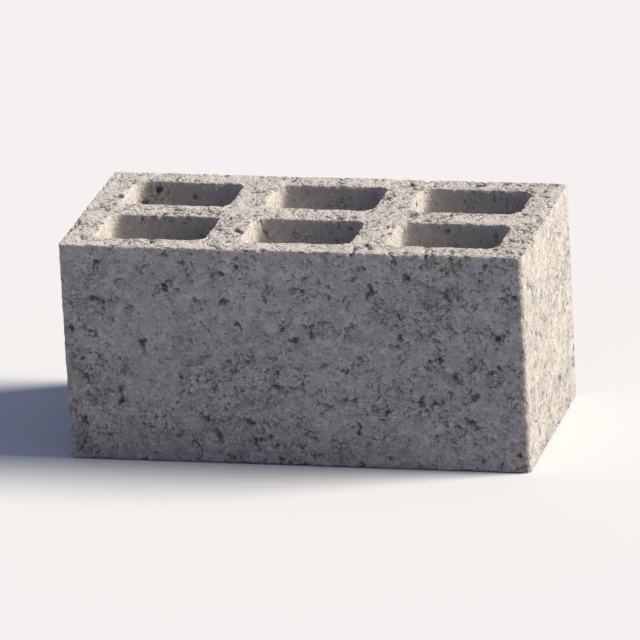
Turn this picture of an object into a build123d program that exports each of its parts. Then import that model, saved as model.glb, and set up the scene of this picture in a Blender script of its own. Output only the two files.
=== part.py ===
from build123d import *

import os
from math import radians, tan

# Hollow concrete wall block, cast in one piece in a vibrating mould.
#
# Two rows of three rectangular cores run straight through it from bed to bed. The cores open a
# little towards the top, because the core formers of the mould are drawn out upwards, so every
# shell and web is thinnest at the top bed. Millimetres; the origin is at the centre of the bottom
# bed, +X runs along the length, +Y across the block and +Z up the cores.

# Outside of the block
block_length = 390.0
block_width = 190.0
block_height = 188.0
outer_corner_radius = 3.0
arris_chamfer = 1.5

# Walls between and around the cores, as they measure at the top bed
face_shell = 22.0
end_wall = 26.0
centre_web = 28.0
cross_web = 31.0

# Cores
cores_per_row = 3
core_rows = 2
core_draft_degrees = 0.6
core_corner_radius = 10.0
core_mouth_chamfer = 2.0

# What the walls leave for one core at the top bed, and the grid that the cores stand on
core_length = (block_length - 2 * end_wall - (cores_per_row - 1) * cross_web) / cores_per_row
core_width = (block_width - 2 * face_shell - (core_rows - 1) * centre_web) / core_rows
core_pitch_x = core_length + cross_web
core_pitch_y = core_width + centre_web


def solid_block():
    """The block before its cores: a rounded rectangle in plan, drawn up to the block's height."""
    with BuildPart() as blank:
        with BuildSketch():
            RectangleRounded(block_length, block_width, outer_corner_radius)
        extrude(amount=block_height)
        beds = blank.faces().filter_by(Axis.Z)
        chamfer(beds.edges(), arris_chamfer)
    return blank.part


def core_former():
    """One core of the mould, standing on the bottom bed, narrower at its foot by the draft."""
    with BuildPart() as former:
        with BuildSketch(Plane.XY.offset(block_height)):
            RectangleRounded(core_length, core_width, core_corner_radius)
        extrude(amount=-block_height, taper=core_draft_degrees)
    return former.part


def hollow_block():
    """The block with every core drawn out of it and the mouths of the cores bevelled."""
    with BuildPart() as block:
        add(solid_block())
        with GridLocations(core_pitch_x, core_pitch_y, cores_per_row, core_rows):
            add(core_former(), mode=Mode.SUBTRACT)
        beds = block.faces().filter_by(Axis.Z)
        mouths = [edge for bed in beds for wire in bed.inner_wires() for edge in wire.edges()]
        chamfer(mouths, core_mouth_chamfer)
    return block.part


block = hollow_block()
block.label = "block"

foot_narrowing = 2 * block_height * tan(radians(core_draft_degrees))
print(f"core at the top bed {core_length:.1f} x {core_width:.1f} mm")
print(f"core at the bottom bed {core_length - foot_narrowing:.1f} x {core_width - foot_narrowing:.1f} mm")
print(f"concrete volume {block.volume / 1e6:.3f} litres")

os.makedirs("parts", exist_ok=True)
export_step(block, "parts/block.step")
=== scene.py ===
import math

import bpy
import numpy as np
from mathutils import Matrix, Vector


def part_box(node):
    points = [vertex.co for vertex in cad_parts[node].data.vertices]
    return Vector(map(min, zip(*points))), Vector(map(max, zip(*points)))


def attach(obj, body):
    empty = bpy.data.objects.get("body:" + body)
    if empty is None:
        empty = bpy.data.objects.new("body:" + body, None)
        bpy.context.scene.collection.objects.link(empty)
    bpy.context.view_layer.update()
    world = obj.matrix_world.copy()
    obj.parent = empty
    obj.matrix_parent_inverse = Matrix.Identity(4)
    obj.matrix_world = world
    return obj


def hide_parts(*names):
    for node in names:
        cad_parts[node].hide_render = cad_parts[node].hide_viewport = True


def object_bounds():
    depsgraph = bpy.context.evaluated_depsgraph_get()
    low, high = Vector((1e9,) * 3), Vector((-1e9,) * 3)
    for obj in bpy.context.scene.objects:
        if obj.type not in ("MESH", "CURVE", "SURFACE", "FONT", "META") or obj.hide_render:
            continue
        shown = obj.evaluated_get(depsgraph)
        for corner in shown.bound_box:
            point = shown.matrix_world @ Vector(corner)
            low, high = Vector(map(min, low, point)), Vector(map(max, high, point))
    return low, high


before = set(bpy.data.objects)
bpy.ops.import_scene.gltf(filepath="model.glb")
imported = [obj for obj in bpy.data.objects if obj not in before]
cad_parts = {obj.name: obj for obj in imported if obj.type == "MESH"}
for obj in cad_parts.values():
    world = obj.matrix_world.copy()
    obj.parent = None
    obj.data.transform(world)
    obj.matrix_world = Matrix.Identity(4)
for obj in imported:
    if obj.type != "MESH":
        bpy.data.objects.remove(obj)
cadLow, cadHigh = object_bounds()
print("frame loaded:", [round(high - low, 4) for low, high in zip(cadLow, cadHigh)])

mm = 0.001                      # in metres, as everything is


# Noise and grain, all worked out for whole arrays of points at once

def latticeRandom(ix, iy, iz, seed):
    # a number from 0 to 1 for each lattice point: whole-number products mixed by shifts
    mixed = (ix.astype(np.uint32) * np.uint32(374761393)
             + iy.astype(np.uint32) * np.uint32(668265263)
             + iz.astype(np.uint32) * np.uint32(2246822519)
             + np.uint32(seed * 40503 + 977))
    mixed = (mixed ^ (mixed >> np.uint32(15))) * np.uint32(2654435761)
    mixed = (mixed ^ (mixed >> np.uint32(13))) * np.uint32(1274126177)
    mixed ^= mixed >> np.uint32(16)
    return mixed.astype(np.float32) / np.float32(4294967295)


def smoothNoise(points, seed):
    # gradient noise: each corner of a lattice cell has a random slope, and the eight ramps that
    # meet at a point are mixed by the eased fractions of its place in the cell
    fullRange = 1.6             # brings the sum to about -1 to 1
    cell = np.floor(points)
    part = (points - cell).astype(np.float32)
    cell = cell.astype(np.int32)
    ease = part ** 3 * (part * (part * 6 - 15) + 10)
    total = np.zeros(len(points), np.float32)
    for cx in (0, 1):
        for cy in (0, 1):
            for cz in (0, 1):
                corner = (cell[:, 0] + cx, cell[:, 1] + cy, cell[:, 2] + cz)
                slopes = sum((latticeRandom(*corner, seed + 31 * axis) * 2 - 1)
                             * (part[:, axis] - (cx, cy, cz)[axis]) for axis in range(3))
                weight = ((ease[:, 0] if cx else 1 - ease[:, 0])
                          * (ease[:, 1] if cy else 1 - ease[:, 1])
                          * (ease[:, 2] if cz else 1 - ease[:, 2]))
                total += slopes * weight
    return total * fullRange


def layeredNoise(points, size, layers, seed):
    # layers of smooth noise, each half as large and a little over half as strong as the last, and
    # set off from it so that their lattices don't meet
    total = np.zeros(len(points), np.float32)
    strength = 1.0
    for layer in range(layers):
        total += strength * smoothNoise(points / size + 17.3 * layer, seed + 101 * layer)
        size *= 0.5
        strength *= 0.55
    return total


def packedGrains(points, size, seed):
    # one grain centre at random in each lattice cell; gives the distance to the nearest centre, in
    # cells, and that grain's own number
    spot = points / size
    cell = np.floor(spot).astype(np.int32)
    nearest = np.full(len(points), 9.0, np.float32)
    number = np.zeros(len(points), np.float32)
    for dx in (-1, 0, 1):
        for dy in (-1, 0, 1):
            for dz in (-1, 0, 1):
                ix, iy, iz = cell[:, 0] + dx, cell[:, 1] + dy, cell[:, 2] + dz
                away = ((ix + latticeRandom(ix, iy, iz, seed) - spot[:, 0]) ** 2
                        + (iy + latticeRandom(ix, iy, iz, seed + 1) - spot[:, 1]) ** 2
                        + (iz + latticeRandom(ix, iy, iz, seed + 2) - spot[:, 2]) ** 2)
                away = np.sqrt(away).astype(np.float32)
                closer = away < nearest
                number = np.where(closer, latticeRandom(ix, iy, iz, seed + 3), number)
                nearest = np.where(closer, away, nearest)
    return nearest, number


def ramp(value, low, high):
    # 0 below low, 1 above high, eased between
    t = np.clip((value - low) / (high - low), 0, 1)
    return t * t * (3 - 2 * t)


# The block's form

blockForm = {
    "faceShell": 22 * mm,       # walls at the top bed
    "endWall": 26 * mm,
    "centreWeb": 28 * mm,
    "crossWeb": 31 * mm,
    "draft": 0.6,               # degrees, the cores open upwards
    "coreCorner": 10 * mm,
    "mouthRound": 2.4 * mm,     # round the cores' mouths
    "arrisRound": 1.8 * mm,     # round both beds
    "uprightRound": 3.6 * mm,   # the four upright corners
    "coresLong": 3,
    "coresWide": 2,
    "step": 1.25 * mm,          # spacing of the points on the faces
    "liningStep": 3.0 * mm,     # and down the cores
    "bedRows": 15,              # of points, from a cell's edge to its mouth
    "arcRows": 4,               # round a mouth or an arris
    "triangles": 194000,        # what the finished mesh is thinned to
    "clearance": 0.02 * mm,     # how far it stays inside the CAD model's box
}


def blockSize():
    # half the length, half the width, the height, and the level of the bottom bed
    low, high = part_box("block")
    return (high[0] - low[0]) / 2, (high[1] - low[1]) / 2, high[2] - low[2], low[2]


def coreGrid(form):
    # what the walls leave for one core at the top bed, length and width, and where the middles of
    # the cores lie along and across the block
    long, wide = form["coresLong"], form["coresWide"]
    roomX = (2 * halfX - 2 * form["endWall"] - (long - 1) * form["crossWeb"]) / long
    roomY = (2 * halfY - 2 * form["faceShell"] - (wide - 1) * form["centreWeb"]) / wide
    alongX = (np.arange(long) - (long - 1) / 2) * (roomX + form["crossWeb"])
    alongY = (np.arange(wide) - (wide - 1) / 2) * (roomY + form["centreWeb"])
    return roomX, roomY, alongX, alongY


halfX, halfY, height, foot = blockSize()
coreX, coreY, middleX, middleY = coreGrid(blockForm)


def cellCuts(form):
    # the flat of a bed is parted into cells, one for each core: where they part, along the block
    # and across it, and in how many steps each cell is crossed
    plan = []
    for half, middle in ((halfX, middleX), (halfY, middleY)):
        edge = half - form["arrisRound"]
        cuts = np.concatenate([[-edge], (middle[1:] + middle[:-1]) / 2, [edge]])
        plan.append((cuts, [round(length / form["step"]) for length in np.diff(cuts)]))
    return plan


def spacedOut(cuts, counts):
    # points from the first cut to the last, each stretch in its own number of equal steps
    stretches = [np.linspace(a, b, n + 1)[:-1] for a, b, n in zip(cuts[:-1], cuts[1:], counts)]
    return np.concatenate(stretches + [cuts[-1:]])


def loopRound(alongX, alongY):
    # anticlockwise round a rectangle from its lowest corner, through the given places on its sides
    stepsX, stepsY = len(alongX) - 1, len(alongY) - 1
    return np.concatenate([
        np.stack([alongX[:-1], np.full(stepsX, alongY[0])], 1),
        np.stack([np.full(stepsY, alongX[-1]), alongY[:-1]], 1),
        np.stack([alongX[:0:-1], np.full(stepsX, alongY[-1])], 1),
        np.stack([np.full(stepsY, alongX[0]), alongY[:0:-1]], 1)])


def roundCorners(loop, reachX, reachY, radius, inset):
    # a point on a rectangle's outline is measured from the rectangle that the corner centres make,
    # and put at radius less inset from it, which rounds the corners and keeps the sides straight
    inner = np.stack([np.clip(loop[:, 0], radius - reachX, reachX - radius),
                      np.clip(loop[:, 1], radius - reachY, reachY - radius)], 1)
    away = loop - inner
    away /= np.linalg.norm(away, axis=1, keepdims=True)
    return inner + away * (radius - inset)


def atHeight(loop, z):
    # a flat outline, set at one height
    return np.column_stack([loop, np.full(len(loop), z)])


def coreLoop(square, centre, z, grown, form):
    # a core's outline at one height, narrower by the draft the deeper it is, and grown all round
    # by as much as the mouth is wider there
    narrower = (height - z) * math.tan(math.radians(form["draft"]))
    reachX, reachY = coreX / 2 - narrower + grown, coreY / 2 - narrower + grown
    return roundCorners(square * [reachX, reachY], reachX, reachY, form["coreCorner"] + grown, 0) + centre


def coreStrip(edge, square, centre, form):
    # one cell's surface, row by row: from its edge across the bottom bed to the mouth, by a quarter
    # turn into the core, up the tapered lining, and out again across the top bed
    mouth = form["mouthRound"]
    shares = np.linspace(0, 1, form["bedRows"] + 1)
    turns = np.linspace(0, math.pi / 2, form["arcRows"] + 1)[1:]
    steps = round((height - 2 * mouth) / form["liningStep"])
    shaft = [atHeight(coreLoop(square, centre, z, 0, form), z)
             for z in np.linspace(mouth, height - mouth, steps + 1)[1:-1]]
    beds = []
    for level, into in ((0, 1), (height, -1)):
        rim = coreLoop(square, centre, level, mouth, form)
        rows = [atHeight(edge + (rim - edge) * share, level) for share in shares]
        rows += [atHeight(coreLoop(square, centre, level, mouth * (1 - math.sin(t)), form),
                          level + into * mouth * (1 - math.cos(t))) for t in turns]
        beds.append(rows)
    return beds[0] + shaft + beds[1][::-1]


def outerBand(outline, form):
    # the outside, row by row: by a quarter turn round the bottom arris, up the faces, and round the
    # top arris. A row is the outline of the beds' flat, let out by the arris less its inset.
    arris = form["arrisRound"]
    steps = round((height - 2 * arris) / form["step"])
    turn = [(arris * (1 - math.sin(t)), arris * (1 - math.cos(t)))
            for t in np.linspace(0, math.pi / 2, form["arcRows"] + 1)]
    profile = (turn + [(0, z) for z in np.linspace(arris, height - arris, steps + 1)[1:-1]]
               + [(inset, height - z) for inset, z in turn[::-1]])
    return [atHeight(roundCorners(outline, halfX - arris, halfY - arris, form["uprightRound"] - arris,
                                  inset - arris), z) for inset, z in profile]


def closedGrid(rows, count, start, turned):
    # quads between neighbouring rows of a closed loop, as four indices each
    v, u = np.meshgrid(np.arange(rows - 1), np.arange(count), indexing="ij")
    along = (u + 1) % count
    a, b, c, d = v * count + u, v * count + along, (v + 1) * count + along, (v + 1) * count + u
    quads = np.stack([a, d, c, b] if turned else [a, b, c, d], -1)
    return quads.reshape(-1, 4) + start


def blockSurface(form):
    # over each cell the surface is a strip closed round its core, and one more strip goes round
    # the outside. They share the cells' edges, where they are welded.
    (cutsX, countX), (cutsY, countY) = cellCuts(form)
    edgeX, edgeY = cutsX[-1], cutsY[-1]
    strips = []
    for i, centreX in enumerate(middleX):
        for j, centreY in enumerate(middleY):
            edge = loopRound(np.linspace(cutsX[i], cutsX[i + 1], countX[i] + 1),
                             np.linspace(cutsY[j], cutsY[j + 1], countY[j] + 1))
            outer = (np.abs(edge[:, 0]) > edgeX - 1e-7) | (np.abs(edge[:, 1]) > edgeY - 1e-7)
            edge[outer] = roundCorners(edge[outer], edgeX, edgeY,
                                       form["uprightRound"] - form["arrisRound"], 0)
            square = loopRound(np.linspace(-1, 1, countX[i] + 1), np.linspace(-1, 1, countY[j] + 1))
            strips.append((True, coreStrip(edge, square, [centreX, centreY], form)))
    outline = loopRound(spacedOut(cutsX, countX), spacedOut(cutsY, countY))
    strips.append((False, outerBand(outline, form)))

    points, quads, lining, start = [], [], [], 0
    for isCore, rows in strips:
        inside = np.zeros(len(rows))
        if isCore:
            inside[form["bedRows"] + 1:-form["bedRows"] - 1] = 1
        points.append(np.concatenate(rows))
        quads.append(closedGrid(len(rows), len(rows[0]), start, isCore))
        lining.append(np.repeat(inside, len(rows[0])))
        start += len(points[-1])
    points, quads, lining = np.concatenate(points), np.concatenate(quads), np.concatenate(lining)
    points[:, 2] += foot
    return weld(points, quads, lining)


def weld(points, quads, lining):
    # points that share a place to a hundredth of a millimetre become one. The shift keeps places
    # that are whole hundredths off the edge between two of them.
    keys = np.round(points / 1e-5 + 0.318).astype(np.int64)
    _, first, back = np.unique(keys, axis=0, return_index=True, return_inverse=True)
    back = back.ravel()
    inside = np.zeros(len(first))
    np.maximum.at(inside, back, lining)
    return points[first], back[quads], inside


def surfaceNormals(points, quads):
    # each face's cross product of diagonals, added to its corners
    a, b, c, d = (points[quads[:, k]] for k in range(4))
    face = np.cross(c - a, d - b)
    total = np.zeros_like(points)
    for k in range(4):
        for axis in range(3):
            total[:, axis] += np.bincount(quads[:, k], face[:, axis], len(points))
    return total / np.maximum(np.linalg.norm(total, axis=1, keepdims=True), 1e-12)


def edgeDistance(points):
    # each point lies on one of the block's surfaces, so the second smallest of its distances to the
    # outer faces, the beds and the nearest core is how far it is from the nearest arris
    x, y, z = points[:, 0], points[:, 1], points[:, 2] - foot
    pastX = np.abs(x[:, None] - middleX).min(1) - coreX / 2
    pastY = np.abs(y[:, None] - middleY).min(1) - coreY / 2
    toCore = np.hypot(np.maximum(pastX, 0), np.maximum(pastY, 0))
    distances = np.stack([halfX - np.abs(x), halfY - np.abs(y), np.minimum(z, height - z), toCore])
    return np.sort(distances, axis=0)[1]


knocks = {
    "seed": 5,
    "perMetre": {"top": 62, "bottom": 50, "upright": 55, "mouth": 34},      # how many knocks
    "smallest": 2.0 * mm,       # radius of the ball that the knock is cut by
    "largest": 9 * mm,
    "mostlySmall": 2.6,         # the higher, the fewer are large
    "deepest": 0.50,            # of the radius
    "shallowest": 0.35,         # of the deepest
    "waver": 0.16,              # by what share of its radius a break is uneven
    "waverSize": 4.0,           # mm
    "shown": (0.2 * mm, 1.2 * mm),      # depth at which a break shows a little, and fully
    "holes": 120,               # air holes in the faces
    "holeSmallest": 1.3 * mm,
    "holeLargest": 3.0 * mm,
    "holesMostlySmall": 1.8,
    "holeLift": 0.7,            # most that a hole's middle stands out of its face, of the radius
}


def spread(share, smallest, largest):
    # sizes from smallest to largest, in equal ratios for equal shares
    return smallest * (largest / smallest) ** share


def arrisLines(form):
    # the lines that knocks are strung along, each with its two ends, the way out and its kind: the
    # four arrises of each bed, the straight sides of each core mouth, and the upright corners
    lines = []
    runX, runY = coreX / 2 - form["coreCorner"], coreY / 2 - form["coreCorner"]
    for z, outZ, name in ((foot, -1, "bottom"), (foot + height, 1, "top")):
        for side in (-1, 1):
            x, y = side * halfX, side * halfY
            lines.append(((-halfX, y, z), (halfX, y, z), (0, side, outZ), name))
            lines.append(((x, -halfY, z), (x, halfY, z), (side, 0, outZ), name))
        for cx in middleX:
            for cy in middleY:
                for side in (-1, 1):
                    x, y = cx + side * coreX / 2, cy + side * coreY / 2
                    lines.append(((cx - runX, y, z), (cx + runX, y, z), (0, -side, outZ), "mouth"))
                    lines.append(((x, cy - runY, z), (x, cy + runY, z), (-side, 0, outZ), "mouth"))
    for sideX in (-1, 1):
        for sideY in (-1, 1):
            x, y = sideX * halfX, sideY * halfY
            lines.append(((x, y, foot), (x, y, foot + height), (sideX, sideY, 0), "upright"))
    return lines


def knockPlaces(form, settings):
    # balls strung at random along each line, their centres out in the open along the diagonal, and
    # more over the faces for the air holes
    draw = np.random.default_rng(settings["seed"])
    centres, radii = [], []
    for begin, end, out, name in arrisLines(form):
        begin, end, out = np.array(begin), np.array(end), np.array(out) / math.sqrt(2)
        count = draw.poisson(settings["perMetre"][name] * np.linalg.norm(end - begin))
        share = draw.random((count, 1))
        radius = spread(draw.random(count) ** settings["mostlySmall"],
                        settings["smallest"], settings["largest"])
        depth = radius * settings["deepest"] * draw.uniform(settings["shallowest"], 1, count)
        centres.append(begin + (end - begin) * share + out * (radius - depth)[:, None])
        radii.append(radius)
    count = settings["holes"]
    radius = spread(draw.random(count) ** settings["holesMostlySmall"],
                    settings["holeSmallest"], settings["holeLargest"])
    lift = radius * draw.uniform(0.0, settings["holeLift"], count)
    side = draw.choice([-1, 1], count)
    onEnd = draw.random(count) < halfY / (halfX + halfY)
    x = np.where(onEnd, side * (halfX + lift), draw.uniform(-halfX, halfX, count))
    y = np.where(onEnd, draw.uniform(-halfY, halfY, count), side * (halfY + lift))
    centres.append(np.column_stack([x, y, draw.uniform(foot, foot + height, count)]))
    radii.append(radius)
    return np.concatenate(centres), np.concatenate(radii)


def knockOff(points, centres, radii, settings):
    # a point inside a ball is pushed straight away from its centre to its surface, a ball's radius
    # wavering from point to point so that the break isn't smooth
    widest = 1.4                # times its radius, past which no ball reaches as it wavers
    waver = 1 + settings["waver"] * layeredNoise(points / mm, settings["waverSize"], 2, 301)
    broken = np.zeros(len(points))
    for centre, radius in zip(centres, radii):
        close = np.flatnonzero((np.abs(points - centre) < radius * widest).all(1))
        away = points[close] - centre
        distance = np.linalg.norm(away, axis=1)
        reach = radius * waver[close]
        hit = distance < reach
        moved = centre + away[hit] * (reach[hit] / distance[hit])[:, None]
        broken[close[hit]] += np.linalg.norm(moved - points[close[hit]], axis=1)
        points[close[hit]] = moved
    return points, broken


castSkin = {                    # sizes and depths in millimetres
    "drift": 70,                # wide drifts between close and open skin
    "driftWeight": 0.40,
    "cluster": 16,              # and the clusters of gaps in them
    "clusterWeight": 0.75,
    "closed": -0.75,            # sum of the two at which the skin is quite close
    "opened": 0.70,             # and quite open
    "facing": (0.5, 0.9),       # slopes between which a face becomes a bed or an end
    "bedOpener": 0.12,          # how much more open the top bed is
    "endCloser": 0.34,          # and how much closer the ends and the linings are
    "liningCloser": 0.35,
    "stone": 7.5,               # from one stone to the next
    "stoneFall": 0.55,          # fall of a stone's crown at one cell from its middle
    "fallWhereClosed": 0.4,     # share of that fall where the skin is quite close
    "stoneFade": (0.42, 0.72),  # over which its own tone gives way to the paste's, in cells
    "bend": 1.6,                # how far the outlines of the stones are bent, and over what length
    "bendSize": 2.6,
    "gapWhereClosed": 0.88,     # how far from the nearest stone a gap starts, in cells
    "gapWhereOpen": 0.66,
    "gapRim": 0.24,             # and over what further distance it reaches its depth
    "gapDepth": 2.8,
    "wave": 0.20,               # long waves of the faces, and their length
    "waveSize": 115,
    "dragDepth": 0.10,          # upright lines where the mould was drawn off
    "dragWide": 2.4,
    "dragLong": 55,
    "bedLumps": 0.75,           # the top bed is struck off, not cast against the mould
    "lumpSize": 8,
    "deepest": 4.0,             # most that all of these together may take off
    "ragged": 1.3,              # depth to which an arris crumbles
    "crumb": 5.0,               # and how large the crumbs are
    "crumbly": (-0.20, 0.75),   # noise at which it starts to crumble, and is quite crumbled
    "crumbReach": (0.5, 3.5),   # how far from the arris that fades
    "rubbed": (1, 7),           # and how far its rubbing does
}


def castRelief(points, normals, lining, arris, skin):
    # depth behind the mould's face. Stones lie packed, a crown's fall grows with the square of the
    # distance from its middle, and where that distance is largest, between three or four stones,
    # a gap opens, the sooner the more open the skin is there. Added to it are long waves, upright
    # drag lines, on the top bed lumps, and at an arris the crumbs that have come off it. The last
    # two numbers of a layered noise are its layers and its seed.
    spot = points / mm
    topBed, bottomBed = ramp(normals[:, 2], *skin["facing"]), ramp(-normals[:, 2], *skin["facing"])
    upright = 1 - topBed - bottomBed
    end = ramp(np.abs(normals[:, 0]), *skin["facing"]) * (1 - lining)
    level = (skin["driftWeight"] * layeredNoise(spot, skin["drift"], 2, 11)
             + skin["clusterWeight"] * layeredNoise(spot, skin["cluster"], 3, 15)
             + skin["bedOpener"] * topBed - skin["liningCloser"] * lining - skin["endCloser"] * end)
    opening = ramp(level, skin["closed"], skin["opened"])
    bend = np.stack([smoothNoise(spot / skin["bendSize"], seed) for seed in (201, 202, 203)], 1)
    near, number = packedGrains(spot + skin["bend"] * bend, skin["stone"], 21)
    start = skin["gapWhereClosed"] + (skin["gapWhereOpen"] - skin["gapWhereClosed"]) * opening
    gap = ramp(near, start, start + skin["gapRim"])
    drag = smoothNoise(spot / [skin["dragWide"], skin["dragWide"], skin["dragLong"]], 91)
    depth = (skin["gapDepth"] * gap + skin["stoneFall"] * near ** 2 * (skin["fallWhereClosed"] + opening)
             + skin["wave"] * (1 + layeredNoise(spot, skin["waveSize"], 2, 71))
             + skin["dragDepth"] * upright * (1 + drag)
             + skin["bedLumps"] * topBed * (1 + layeredNoise(spot, skin["lumpSize"], 2, 95)))
    crumbs = (ramp(layeredNoise(spot, skin["crumb"], 2, 401), *skin["crumbly"])
              * (1 - ramp(arris / mm, *skin["crumbReach"])))
    depth = np.clip(depth, 0, skin["deepest"]) + skin["ragged"] * crumbs
    stone = (number - 0.5) * (1 - ramp(near, *skin["stoneFade"]))
    return depth * mm, {"opening": opening, "gap": gap, "stone": stone, "topBed": topBed}


def buildMesh(name, points, quads, attributes):
    # the piece, from its points and its quads' indices, with each mask as a number on every point
    mesh = bpy.data.meshes.new(name)
    mesh.vertices.add(len(points))
    mesh.vertices.foreach_set("co", points.astype(np.float32).ravel())
    mesh.loops.add(quads.size)
    mesh.loops.foreach_set("vertex_index", quads.astype(np.int32).ravel())
    mesh.polygons.add(len(quads))
    mesh.polygons.foreach_set("loop_start", np.arange(0, quads.size, 4, dtype=np.int32))
    mesh.polygons.foreach_set("use_smooth", np.ones(len(quads), bool))
    for key, values in attributes.items():
        layer = mesh.attributes.new(key, "FLOAT", "POINT")
        layer.data.foreach_set("value", values.astype(np.float32))
    mesh.update()
    mesh.validate()
    piece = bpy.data.objects.new(name, mesh)
    bpy.context.scene.collection.objects.link(piece)
    return piece


def readOut(items, key, width=1, kind=np.float32):
    # one property of all the items, with a row for each where it has several numbers
    values = np.zeros(len(items) * width, kind)
    items.foreach_get(key, values)
    return values.reshape(-1, width) if width > 1 else values


def thinOut(piece, most):
    # flat stretches give up their points first, down to the wanted number of triangles
    thin = piece.modifiers.new("thin", "DECIMATE")
    thin.ratio = most / (2 * len(piece.data.polygons))
    graph = bpy.context.evaluated_depsgraph_get()
    thinned = bpy.data.meshes.new_from_object(piece.evaluated_get(graph), depsgraph=graph)
    piece.modifiers.clear()
    thinned.name = piece.data.name
    piece.data = thinned


def keepInside(mesh, clearance):
    # no point leaves the CAD model's box
    inside = np.clip(readOut(mesh.vertices, "co", 3), np.array(cadLow) + clearance,
                     np.array(cadHigh) - clearance)
    mesh.vertices.foreach_set("co", inside.astype(np.float32).ravel())
    mesh.update()


flatSheet = {
    "side": 905 * mm,           # the square sheet that the block's sides are laid out on
    "rows": 4,
    "apart": 4 * mm,
    "leaning": 3 * mm,          # how much a face that leans away from a side is kept off it
    "past": 2 * mm,             # how far a core's side reaches past its corners
}


def planeSides(middle, facing, form, sheet):
    # the plane sides of the block and its cores, each as its two axes along the sheet, its lowest
    # corner on them, its size, and how far every face is from it, by its place and its lean
    narrower = (foot + height - middle[:, 2]) * math.tan(math.radians(form["draft"]))
    sides = []
    for axis, half, across, reach in ((0, halfX, 1, halfY), (1, halfY, 0, halfX)):
        for out in (-1, 1):
            away = np.abs(out * middle[:, axis] - half) - sheet["leaning"] * out * facing[:, axis]
            sides.append(((across, 2), (-reach, foot), (2 * reach, height), away))
    for centre in [(cx, cy) for cx in middleX for cy in middleY]:
        for axis, across in ((0, 1), (1, 0)):
            half = (coreX, coreY)[axis] / 2 - narrower
            reach = (coreX, coreY)[across] / 2 + sheet["past"]
            past = np.maximum(np.abs(middle[:, across] - centre[across]) - reach, 0)
            for out in (-1, 1):
                away = np.hypot(out * (middle[:, axis] - centre[axis]) - half, past)
                sides.append(((across, 2), (centre[across] - reach, foot), (2 * reach, height),
                              away + sheet["leaning"] * out * facing[:, axis]))
    for z, out in ((foot, -1), (foot + height, 1)):
        away = np.abs(middle[:, 2] - z) - sheet["leaning"] * out * facing[:, 2]
        sides.append(((0, 1), (-halfX, -halfY), (2 * halfX, 2 * halfY), away))
    return sides


def placeOnSheet(widths, sheet):
    # the widest first, each into the first of the upright rows that has room, and the rest lying on
    # their long edge above them: where each one starts, and whether it lies
    rowHeight = max(height, 2 * halfY) + sheet["apart"]
    starts, filled, lying = {}, [0.0] * sheet["rows"], []
    for k in sorted(range(len(widths)), key=lambda k: -widths[k]):
        row = next((r for r, x in enumerate(filled) if x + widths[k] < sheet["side"]), None)
        if row is None:
            lying.append(k)
        else:
            starts[k] = (filled[row], row * rowHeight, False)
            filled[row] += widths[k] + sheet["apart"]
    perRow = int(sheet["side"] / rowHeight)
    for n, k in enumerate(lying):
        above = sheet["rows"] * rowHeight + n // perRow * (widths[lying[0]] + sheet["apart"])
        starts[k] = (n % perRow * rowHeight, above, True)
    return starts


def layFlat(mesh, form, sheet):
    # a UV map: each face goes to the plane side that it lies nearest to and faces most, and is laid
    # flat along that side's normal. The sides stand in rows on a square sheet.
    middle = readOut(mesh.polygons, "center", 3).astype(float)
    facing = readOut(mesh.polygons, "normal", 3).astype(float)
    sides = planeSides(middle, facing, form, sheet)
    starts = placeOnSheet([size[0] for _, _, size, _ in sides], sheet)
    nearest = np.argmin(np.stack([away for _, _, _, away in sides]), axis=0)
    owner = np.repeat(nearest, readOut(mesh.polygons, "loop_total", kind=np.int32))
    corner = readOut(mesh.vertices, "co", 3).astype(float)
    place = corner[readOut(mesh.loops, "vertex_index", kind=np.int32)]
    flat = np.zeros((len(place), 2))
    for k, (axes, lowest, _, _) in enumerate(sides):
        mine = owner == k
        laid = place[mine][:, axes] - lowest
        startU, startV, turned = starts[k]
        flat[mine] = (laid[:, ::-1] if turned else laid) + [startU, startV]
    layer = mesh.uv_layers.new(name="OFBake")
    across = max(sheet["side"], flat.max()) + 2 * sheet["apart"]
    layer.data.foreach_set("uv", ((flat + sheet["apart"]) / across).astype(np.float32).ravel())
    print("laid flat:", len(sides), "sides on a sheet", round(float(across), 3), "m across")


def makeBlock():
    # the plain surface, knocked at its arrises and then let in by the relief along its normals. The
    # masks are made before it is thinned, and go with its points.
    points, quads, lining = blockSurface(blockForm)
    print("block surface:", len(points), "points,", len(quads), "quads")
    arris = edgeDistance(points)
    points, broken = knockOff(points, *knockPlaces(blockForm, knocks), knocks)
    points = np.clip(points, cadLow, cadHigh)
    normals = surfaceNormals(points, quads)
    depth, masks = castRelief(points, normals, lining, arris, castSkin)
    points = points - normals * depth[:, None]
    print("cast relief: deepest", round(float(depth.max() / mm), 2), "mm")
    masks["lining"] = lining
    masks["arris"] = 1 - ramp(arris / mm, *castSkin["rubbed"])
    masks["broken"] = ramp(broken, *knocks["shown"])
    piece = buildMesh("concrete_block", points, quads, masks)
    thinOut(piece, blockForm["triangles"])
    keepInside(piece.data, blockForm["clearance"])
    layFlat(piece.data, blockForm, flatSheet)
    print("thinned:", len(piece.data.polygons), "faces")
    return piece


# The finish

def fill(tree, socket, entry):
    # a link where the entry is another node's socket, and otherwise its value
    if isinstance(entry, bpy.types.NodeSocket):
        tree.links.new(entry, socket)
    else:
        socket.default_value = entry


def addNode(tree, kind, inputs=None, **settings):
    # a node with its settings, and with its inputs filled by name or by number
    node = tree.nodes.new(kind)
    for key, value in settings.items():
        setattr(node, key, value)
    for key, entry in (inputs or {}).items():
        fill(tree, node.inputs[key], entry)
    return node


def mathNode(tree, operation, *entries):
    # one step of arithmetic on its entries
    return addNode(tree, "ShaderNodeMath", dict(enumerate(entries)), operation=operation).outputs[0]


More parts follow.
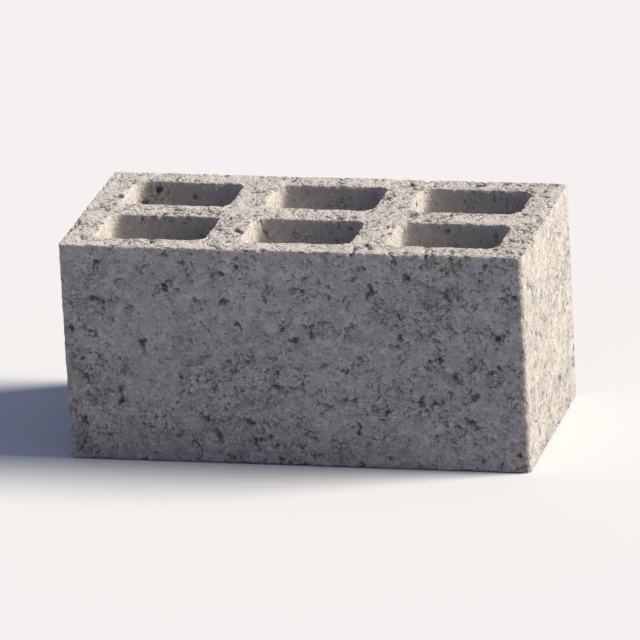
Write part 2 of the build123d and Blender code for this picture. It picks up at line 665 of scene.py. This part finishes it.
def rampNode(tree, value, low, high, toLow=0.0, toHigh=1.0):
    # eased from toLow to toHigh as the value goes from low to high
    entries = {"Value": value, "From Min": low, "From Max": high, "To Min": toLow, "To Max": toHigh}
    return addNode(tree, "ShaderNodeMapRange", entries, interpolation_type="SMOOTHSTEP").outputs["Result"]


def weightedSum(tree, total, shares, weights):
    # total plus each share times the weight of the same name
    for name, weight in weights.items():
        total = mathNode(tree, "MULTIPLY_ADD", shares[name], weight, total)
    return total


def scaled(tree, vector, factor):
    # a vector or a colour times a number
    return addNode(tree, "ShaderNodeVectorMath", {0: vector, "Scale": factor}, operation="SCALE").outputs[0]


def mixColour(tree, share, first, second):
    # the first colour where the share is 0, the second where it is 1
    return addNode(tree, "ShaderNodeMix", {0: share, 6: first, 7: second}, data_type="RGBA").outputs[2]


def newGroup(name, inputs, outputs):
    # a group with its inputs, each of a kind and with a value to start from, and its outputs
    tree = bpy.data.node_groups.new(name, "ShaderNodeTree")
    for label, kind, value in inputs:
        socket = tree.interface.new_socket(label, in_out="INPUT", socket_type="NodeSocket" + kind)
        if value is not None:
            socket.default_value = value
    for label, kind in outputs:
        tree.interface.new_socket(label, in_out="OUTPUT", socket_type="NodeSocket" + kind)
    return tree, tree.nodes.new("NodeGroupInput").outputs, tree.nodes.new("NodeGroupOutput").inputs


def useGroup(tree, group, inputs):
    # a group placed in a material with its own inputs
    return addNode(tree, "ShaderNodeGroup", inputs, node_tree=group).outputs


def grainGroup():
    # packed grains of one size, bedded in paste, their outlines bent by noise. Gap opens at a
    # distance from the nearest grain's middle that goes from Closed to Opened as Opening goes from
    # 0 to 1, and is full a Rim further on. Crown falls from 1 near a grain's middle to 0 at its rim,
    # Shade is lighter or darker than 0 for each grain and 0 past its rim, and Number is one number
    # from 0 to 1 for each grain.
    crownFall = (0.68, 0.10)    # distances from a grain's middle, in cells, from 0 to the full value
    shadeFall = (0.66, 0.46)
    bendsPerGrain = 1.5
    tree, given, put = newGroup(
        "packedGrains",
        [("Vector", "Vector", None), ("Grain Size", "Float", 3.0), ("Opening", "Float", 0.5),
         ("Closed", "Float", 0.9), ("Opened", "Float", 0.6), ("Rim", "Float", 0.2), ("Bend", "Float", 0.5)],
        [("Gap", "Float"), ("Crown", "Float"), ("Shade", "Float"), ("Number", "Float")])
    scale = mathNode(tree, "DIVIDE", 1.0, given["Grain Size"])
    noise = addNode(tree, "ShaderNodeTexNoise", {
        "Vector": given["Vector"], "Scale": mathNode(tree, "MULTIPLY", scale, bendsPerGrain),
        "Detail": 2.0, "Roughness": 0.6}).outputs["Color"]
    bent = addNode(tree, "ShaderNodeVectorMath", {0: noise, 1: (0.5, 0.5, 0.5)}, operation="SUBTRACT")
    bent = scaled(tree, bent.outputs[0], mathNode(tree, "MULTIPLY", given["Bend"], given["Grain Size"]))
    place = addNode(tree, "ShaderNodeVectorMath", {0: given["Vector"], 1: bent}, operation="ADD")
    cells = addNode(tree, "ShaderNodeTexVoronoi", {"Vector": place.outputs[0], "Scale": scale})
    near = cells.outputs["Distance"]
    number = addNode(tree, "ShaderNodeSeparateColor", {"Color": cells.outputs["Color"]}).outputs["Red"]
    sooner = mathNode(tree, "SUBTRACT", given["Opened"], given["Closed"])
    start = mathNode(tree, "MULTIPLY_ADD", given["Opening"], sooner, given["Closed"])
    full = mathNode(tree, "ADD", start, given["Rim"])
    tone = mathNode(tree, "SUBTRACT", number, 0.5)
    tree.links.new(rampNode(tree, near, start, full), put["Gap"])
    tree.links.new(rampNode(tree, near, *crownFall), put["Crown"])
    tree.links.new(mathNode(tree, "MULTIPLY", tone, rampNode(tree, near, *shadeFall)), put["Shade"])
    tree.links.new(number, put["Number"])
    return tree


def mottleGroup():
    # a share that drifts from 0 to 1 in patches, and crosses over while the noise changes by twice
    # the softness
    tree, given, put = newGroup("mottle", [("Vector", "Vector", None), ("Size", "Float", 60.0),
                                           ("Softness", "Float", 0.2)], [("Share", "Float")])
    scale = mathNode(tree, "DIVIDE", 1.0, given["Size"])
    noise = addNode(tree, "ShaderNodeTexNoise", {
        "Vector": given["Vector"], "Scale": scale, "Detail": 4.0, "Roughness": 0.58}).outputs["Fac"]
    low = mathNode(tree, "SUBTRACT", 0.5, given["Softness"])
    high = mathNode(tree, "ADD", 0.5, given["Softness"])
    tree.links.new(rampNode(tree, noise, low, high), put["Share"])
    return tree


concreteFinish = {              # sizes and heights in millimetres
    "paste": (0.405, 0.398, 0.386, 1),
    "stoneDark": (0.20, 0.198, 0.20, 1),
    "stonePale": (0.56, 0.54, 0.51, 1),
    "dust": (0.50, 0.455, 0.395, 1),        # on arrises
    # partly dust and partly painted light: the top bed's colour made paler, standing in for the light that
    # falls on it from above
    "bedDustAndPaintedLight": (0.54, 0.528, 0.522, 1),
    "liningDust": (0.53, 0.512, 0.49, 1),
    "grit": {"Grain Size": 3.6, "Closed": 0.84, "Opened": 0.565, "Rim": 0.27, "Bend": 0.85},
    "sand": {"Grain Size": 1.7, "Closed": 0.82, "Opened": 0.54, "Rim": 0.27, "Bend": 0.60},
    "wide": {"Size": 80.0, "Softness": 0.24},
    "patch": {"Size": 24.0, "Softness": 0.22},
    "powder": {"Scale": 1 / 1.1, "Detail": 4.0, "Roughness": 0.7},      # specks of 1.1 mm
    "brokenOpening": 0.9,                   # how open the skin is where a knock has broken it
    "plainTone": 0.630,                     # 1 is the paste's colour as it is written
    "tones": {"wide": 0.14, "patch": 0.12, "stone": 0.42, "grit": 0.40, "sand": 0.34, "powder": 0.44,
              "raised": 0.135},             # paler towards the top bed, where the mould was pressed
    # painted shade: how much each kind of gap darkens the colour
    "paintedGapShades": {"stone": 0.52, "grit": 0.56, "sand": 0.42},
    "heights": {"stoneGap": -0.80, "gritGap": -1.20, "sandGap": -0.50, "gritCrown": 0.42, "sandCrown": 0.26,
                "powder": 0.45},
    # each of these is two values of a mask or pattern, and what it gives at the first and the second
    "bare": (0.08, 0.21, 0.0, 1.0),         # a grain's crown times powder, to how bare it lies
    "pale": (0.82, 1.0, 0.0, 0.60),         # its number, to how pale it is
    "dark": (0.14, 0.0, 0.0, 0.60),
    "rubbed": (0.2, 0.9, 0.0, 0.25),        # patches, to the dust on an arris
    "struck": (0.25, 0.65, 0.25, 0.65),     # powder, to the dust and painted light on the top bed
    "drawn": (0.25, 0.65, 0.30, 0.70),      # and in the cores
    "crumbly": (0.38, 0.62, 1.25, 0.70),    # powder, to how deep a gap is and how dark its painted shade is
    "roughness": (0.05, 0.50, 0.97, 0.84),  # from paste to bare crowns
    "specular": 0.35,
    "diffuseRoughness": 0.6,
}


def concreteMaterial(look):
    # cast concrete: toned paste, bare stones and dust over it, painted light on the top bed, gaps darkened
    # with painted shade, and all of them in bump
    material = bpy.data.materials.new("castConcrete")
    material.use_nodes = True
    tree = material.node_tree
    tree.nodes.clear()
    place = addNode(tree, "ShaderNodeTexCoord").outputs["Object"]
    spot = scaled(tree, place, 1 / mm)
    mask = {name: addNode(tree, "ShaderNodeAttribute", attribute_name=name).outputs["Fac"]
            for name in ("opening", "gap", "stone", "topBed", "lining", "arris", "broken")}
    broken = mathNode(tree, "MULTIPLY", mask["broken"], look["brokenOpening"])
    opening = mathNode(tree, "MAXIMUM", mask["opening"], broken)
    grains, mottle = grainGroup(), mottleGroup()
    grit = useGroup(tree, grains, {"Vector": spot, "Opening": opening, **look["grit"]})
    sand = useGroup(tree, grains, {"Vector": spot, "Opening": opening, **look["sand"]})
    wide = useGroup(tree, mottle, {"Vector": spot, **look["wide"]})["Share"]
    patch = useGroup(tree, mottle, {"Vector": spot, **look["patch"]})["Share"]
    powder = addNode(tree, "ShaderNodeTexNoise", {"Vector": spot, **look["powder"]}).outputs["Fac"]

    # the paste, toned by every grain and drift and by how high up the block it lies
    level = addNode(tree, "ShaderNodeSeparateXYZ", {"Vector": place}).outputs["Z"]
    raised = mathNode(tree, "DIVIDE", mathNode(tree, "SUBTRACT", level, foot), height)
    shares = {"wide": wide, "patch": patch, "stone": mask["stone"], "grit": grit["Shade"],
              "sand": sand["Shade"], "powder": powder, "raised": raised}
    colour = scaled(tree, look["paste"][:3], weightedSum(tree, look["plainTone"], shares, look["tones"]))

    # bare stones, then dust where the block is rubbed or drawn, and on the struck-off top bed a paler
    # colour that is partly dust and partly painted light
    crowns = mathNode(tree, "MULTIPLY", grit["Crown"], powder)
    bare = rampNode(tree, crowns, *look["bare"])
    covers = (("stonePale", bare, rampNode(tree, grit["Number"], *look["pale"])),
              ("stoneDark", bare, rampNode(tree, grit["Number"], *look["dark"])),
              ("dust", mask["arris"], rampNode(tree, patch, *look["rubbed"])),
              ("bedDustAndPaintedLight", mask["topBed"], rampNode(tree, powder, *look["struck"])),
              ("liningDust", mask["lining"], rampNode(tree, powder, *look["drawn"])))
    for over, where, amount in covers:
        colour = mixColour(tree, mathNode(tree, "MULTIPLY", where, amount), colour, look[over])

    # painted shade: the gaps darken whatever lies in them, the large ones unevenly
    crumbly = mathNode(tree, "MULTIPLY", mask["gap"], rampNode(tree, powder, *look["crumbly"]))
    for name, gap in (("stone", crumbly), ("grit", grit["Gap"]), ("sand", sand["Gap"])):
        colour = scaled(tree, colour, mathNode(tree, "MULTIPLY_ADD", gap, -look["paintedGapShades"][name], 1.0))

    shares = {"stoneGap": crumbly, "gritGap": grit["Gap"], "sandGap": sand["Gap"],
              "gritCrown": grit["Crown"], "sandCrown": sand["Crown"], "powder": powder}
    relief = weightedSum(tree, 0.0, shares, look["heights"])
    bump = addNode(tree, "ShaderNodeBump", {"Strength": 1.0, "Distance": mm, "Height": relief})
    shader = addNode(tree, "ShaderNodeBsdfPrincipled", {
        "Base Color": colour, "Roughness": rampNode(tree, crowns, *look["roughness"]),
        "Specular IOR Level": look["specular"], "Diffuse Roughness": look["diffuseRoughness"],
        "Normal": bump.outputs[0]})
    addNode(tree, "ShaderNodeOutputMaterial", {"Surface": shader.outputs[0]})
    return material


# The stage, the lights and the camera

stage = {
    "floorSeen": (0.600, 0.640, 0.680, 1),  # in the picture
    "floorBounce": (0.44, 0.46, 0.50, 1),   # what the floor throws back onto the block
    "floorSize": 24.0,
    "worldLight": (0.640, 0.685, 1.0, 1),
    "worldStrength": 0.326,
    "backdrop": (0.83, 0.83, 0.83, 1),      # as pale as the lit floor, so that no edge shows
    "keyAzimuth": 100.0,        # degrees round from the front, so a little behind the right end
    "keyElevation": 34.8,
    "keySpan": 22.0,            # degrees that the lamp spans, which softens the shadows
    "keyPower": 7.15,
    "keyColour": (1.0, 0.885, 0.735),
}

cameraSetup = {
    "azimuth": 14.1,
    "elevation": 19.3,
    "roll": -3.0,
    "distance": 7.0,
    "spread": 0.80,             # share of the picture's width that the block takes
    "sensor": 36.0,             # mm
    "farthest": 100.0,
}


def seenRays(tree):
    # 1 for the rays by which a surface is seen, straight or in a gloss or glass, and 0 for light
    rays = addNode(tree, "ShaderNodeLightPath").outputs
    mirrored = mathNode(tree, "MAXIMUM", rays["Is Glossy Ray"], rays["Is Transmission Ray"])
    return mathNode(tree, "MAXIMUM", rays["Is Camera Ray"], mirrored)


def makeFloor(setup):
    # a plain square, seen pale but throwing less light back onto the block
    grid = np.array([(-1, -1, 0), (1, -1, 0), (1, 1, 0), (-1, 1, 0)], float) * setup["floorSize"] / 2
    mesh = bpy.data.meshes.new("floor")
    mesh.from_pydata(grid.tolist(), [], [(0, 1, 2, 3)])
    floor = bpy.data.objects.new("floor", mesh)
    bpy.context.scene.collection.objects.link(floor)
    material = bpy.data.materials.new("palePaper")
    material.use_nodes = True
    tree = material.node_tree
    shader = tree.nodes["Principled BSDF"]
    shader.inputs["Roughness"].default_value = 1.0
    shader.inputs["Specular IOR Level"].default_value = 0.0
    seen = seenRays(tree)
    fill(tree, shader.inputs["Base Color"], mixColour(tree, seen, setup["floorBounce"], setup["floorSeen"]))
    mesh.materials.append(material)


def makeWorld(setup):
    # a soft bluish light from all round, and a pale backdrop where it is seen itself
    world = bpy.data.worlds.new("studio")
    bpy.context.scene.world = world
    world.use_nodes = True
    tree = world.node_tree
    tree.nodes.clear()
    seen = seenRays(tree)
    light = addNode(tree, "ShaderNodeBackground", {"Color": setup["worldLight"],
                                                   "Strength": setup["worldStrength"]})
    back = addNode(tree, "ShaderNodeBackground", {"Color": setup["backdrop"], "Strength": 1.0})
    mixed = addNode(tree, "ShaderNodeMixShader", {0: seen, 1: light.outputs[0], 2: back.outputs[0]})
    addNode(tree, "ShaderNodeOutputWorld", {"Surface": mixed.outputs[0]})


def directionFrom(azimuth, elevation):
    # the way out to a place so many degrees round from the front and up from the floor
    a, e = math.radians(azimuth), math.radians(elevation)
    return Vector((math.sin(a) * math.cos(e), -math.cos(a) * math.cos(e), math.sin(e)))


def makeKeyLight(setup):
    # a wide lamp so far off that it lights the whole floor alike
    lamp = bpy.data.lights.new("key", "SUN")
    lamp.angle = math.radians(setup["keySpan"])
    lamp.energy = setup["keyPower"]
    lamp.color = setup["keyColour"]
    key = bpy.data.objects.new("key", lamp)
    bpy.context.scene.collection.objects.link(key)
    out = directionFrom(setup["keyAzimuth"], setup["keyElevation"])
    key.rotation_euler = out.to_track_quat("Z", "Y").to_euler()


def makeCamera(setup, low, high):
    # looks at the middle of the box, with a lens that gives the box's width its share of the picture
    out = directionFrom(setup["azimuth"], setup["elevation"])
    a = math.radians(setup["azimuth"])
    seenWidth = (high.x - low.x) * math.cos(a) + (high.y - low.y) * math.sin(a)
    camera = bpy.data.objects.new("camera", bpy.data.cameras.new("camera"))
    bpy.context.scene.collection.objects.link(camera)
    camera.data.sensor_width = setup["sensor"]
    camera.data.lens = setup["spread"] * setup["sensor"] * setup["distance"] / seenWidth
    camera.data.clip_end = setup["farthest"]
    camera.location = (low + high) / 2 + out * setup["distance"]
    roll = Matrix.Rotation(math.radians(setup["roll"]), 4, "Z")
    camera.rotation_euler = (out.to_track_quat("Z", "Y").to_matrix().to_4x4() @ roll).to_euler()
    bpy.context.scene.camera = camera


block = makeBlock()
block.data.materials.clear()
block.data.materials.append(concreteMaterial(concreteFinish))
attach(block, "root")
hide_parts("block")
print("block made and finished")

makeFloor(stage)
makeWorld(stage)
makeKeyLight(stage)
makeCamera(cameraSetup, cadLow, cadHigh)
bpy.context.scene.view_settings.view_transform = "Standard"
print("stage, light and camera set")
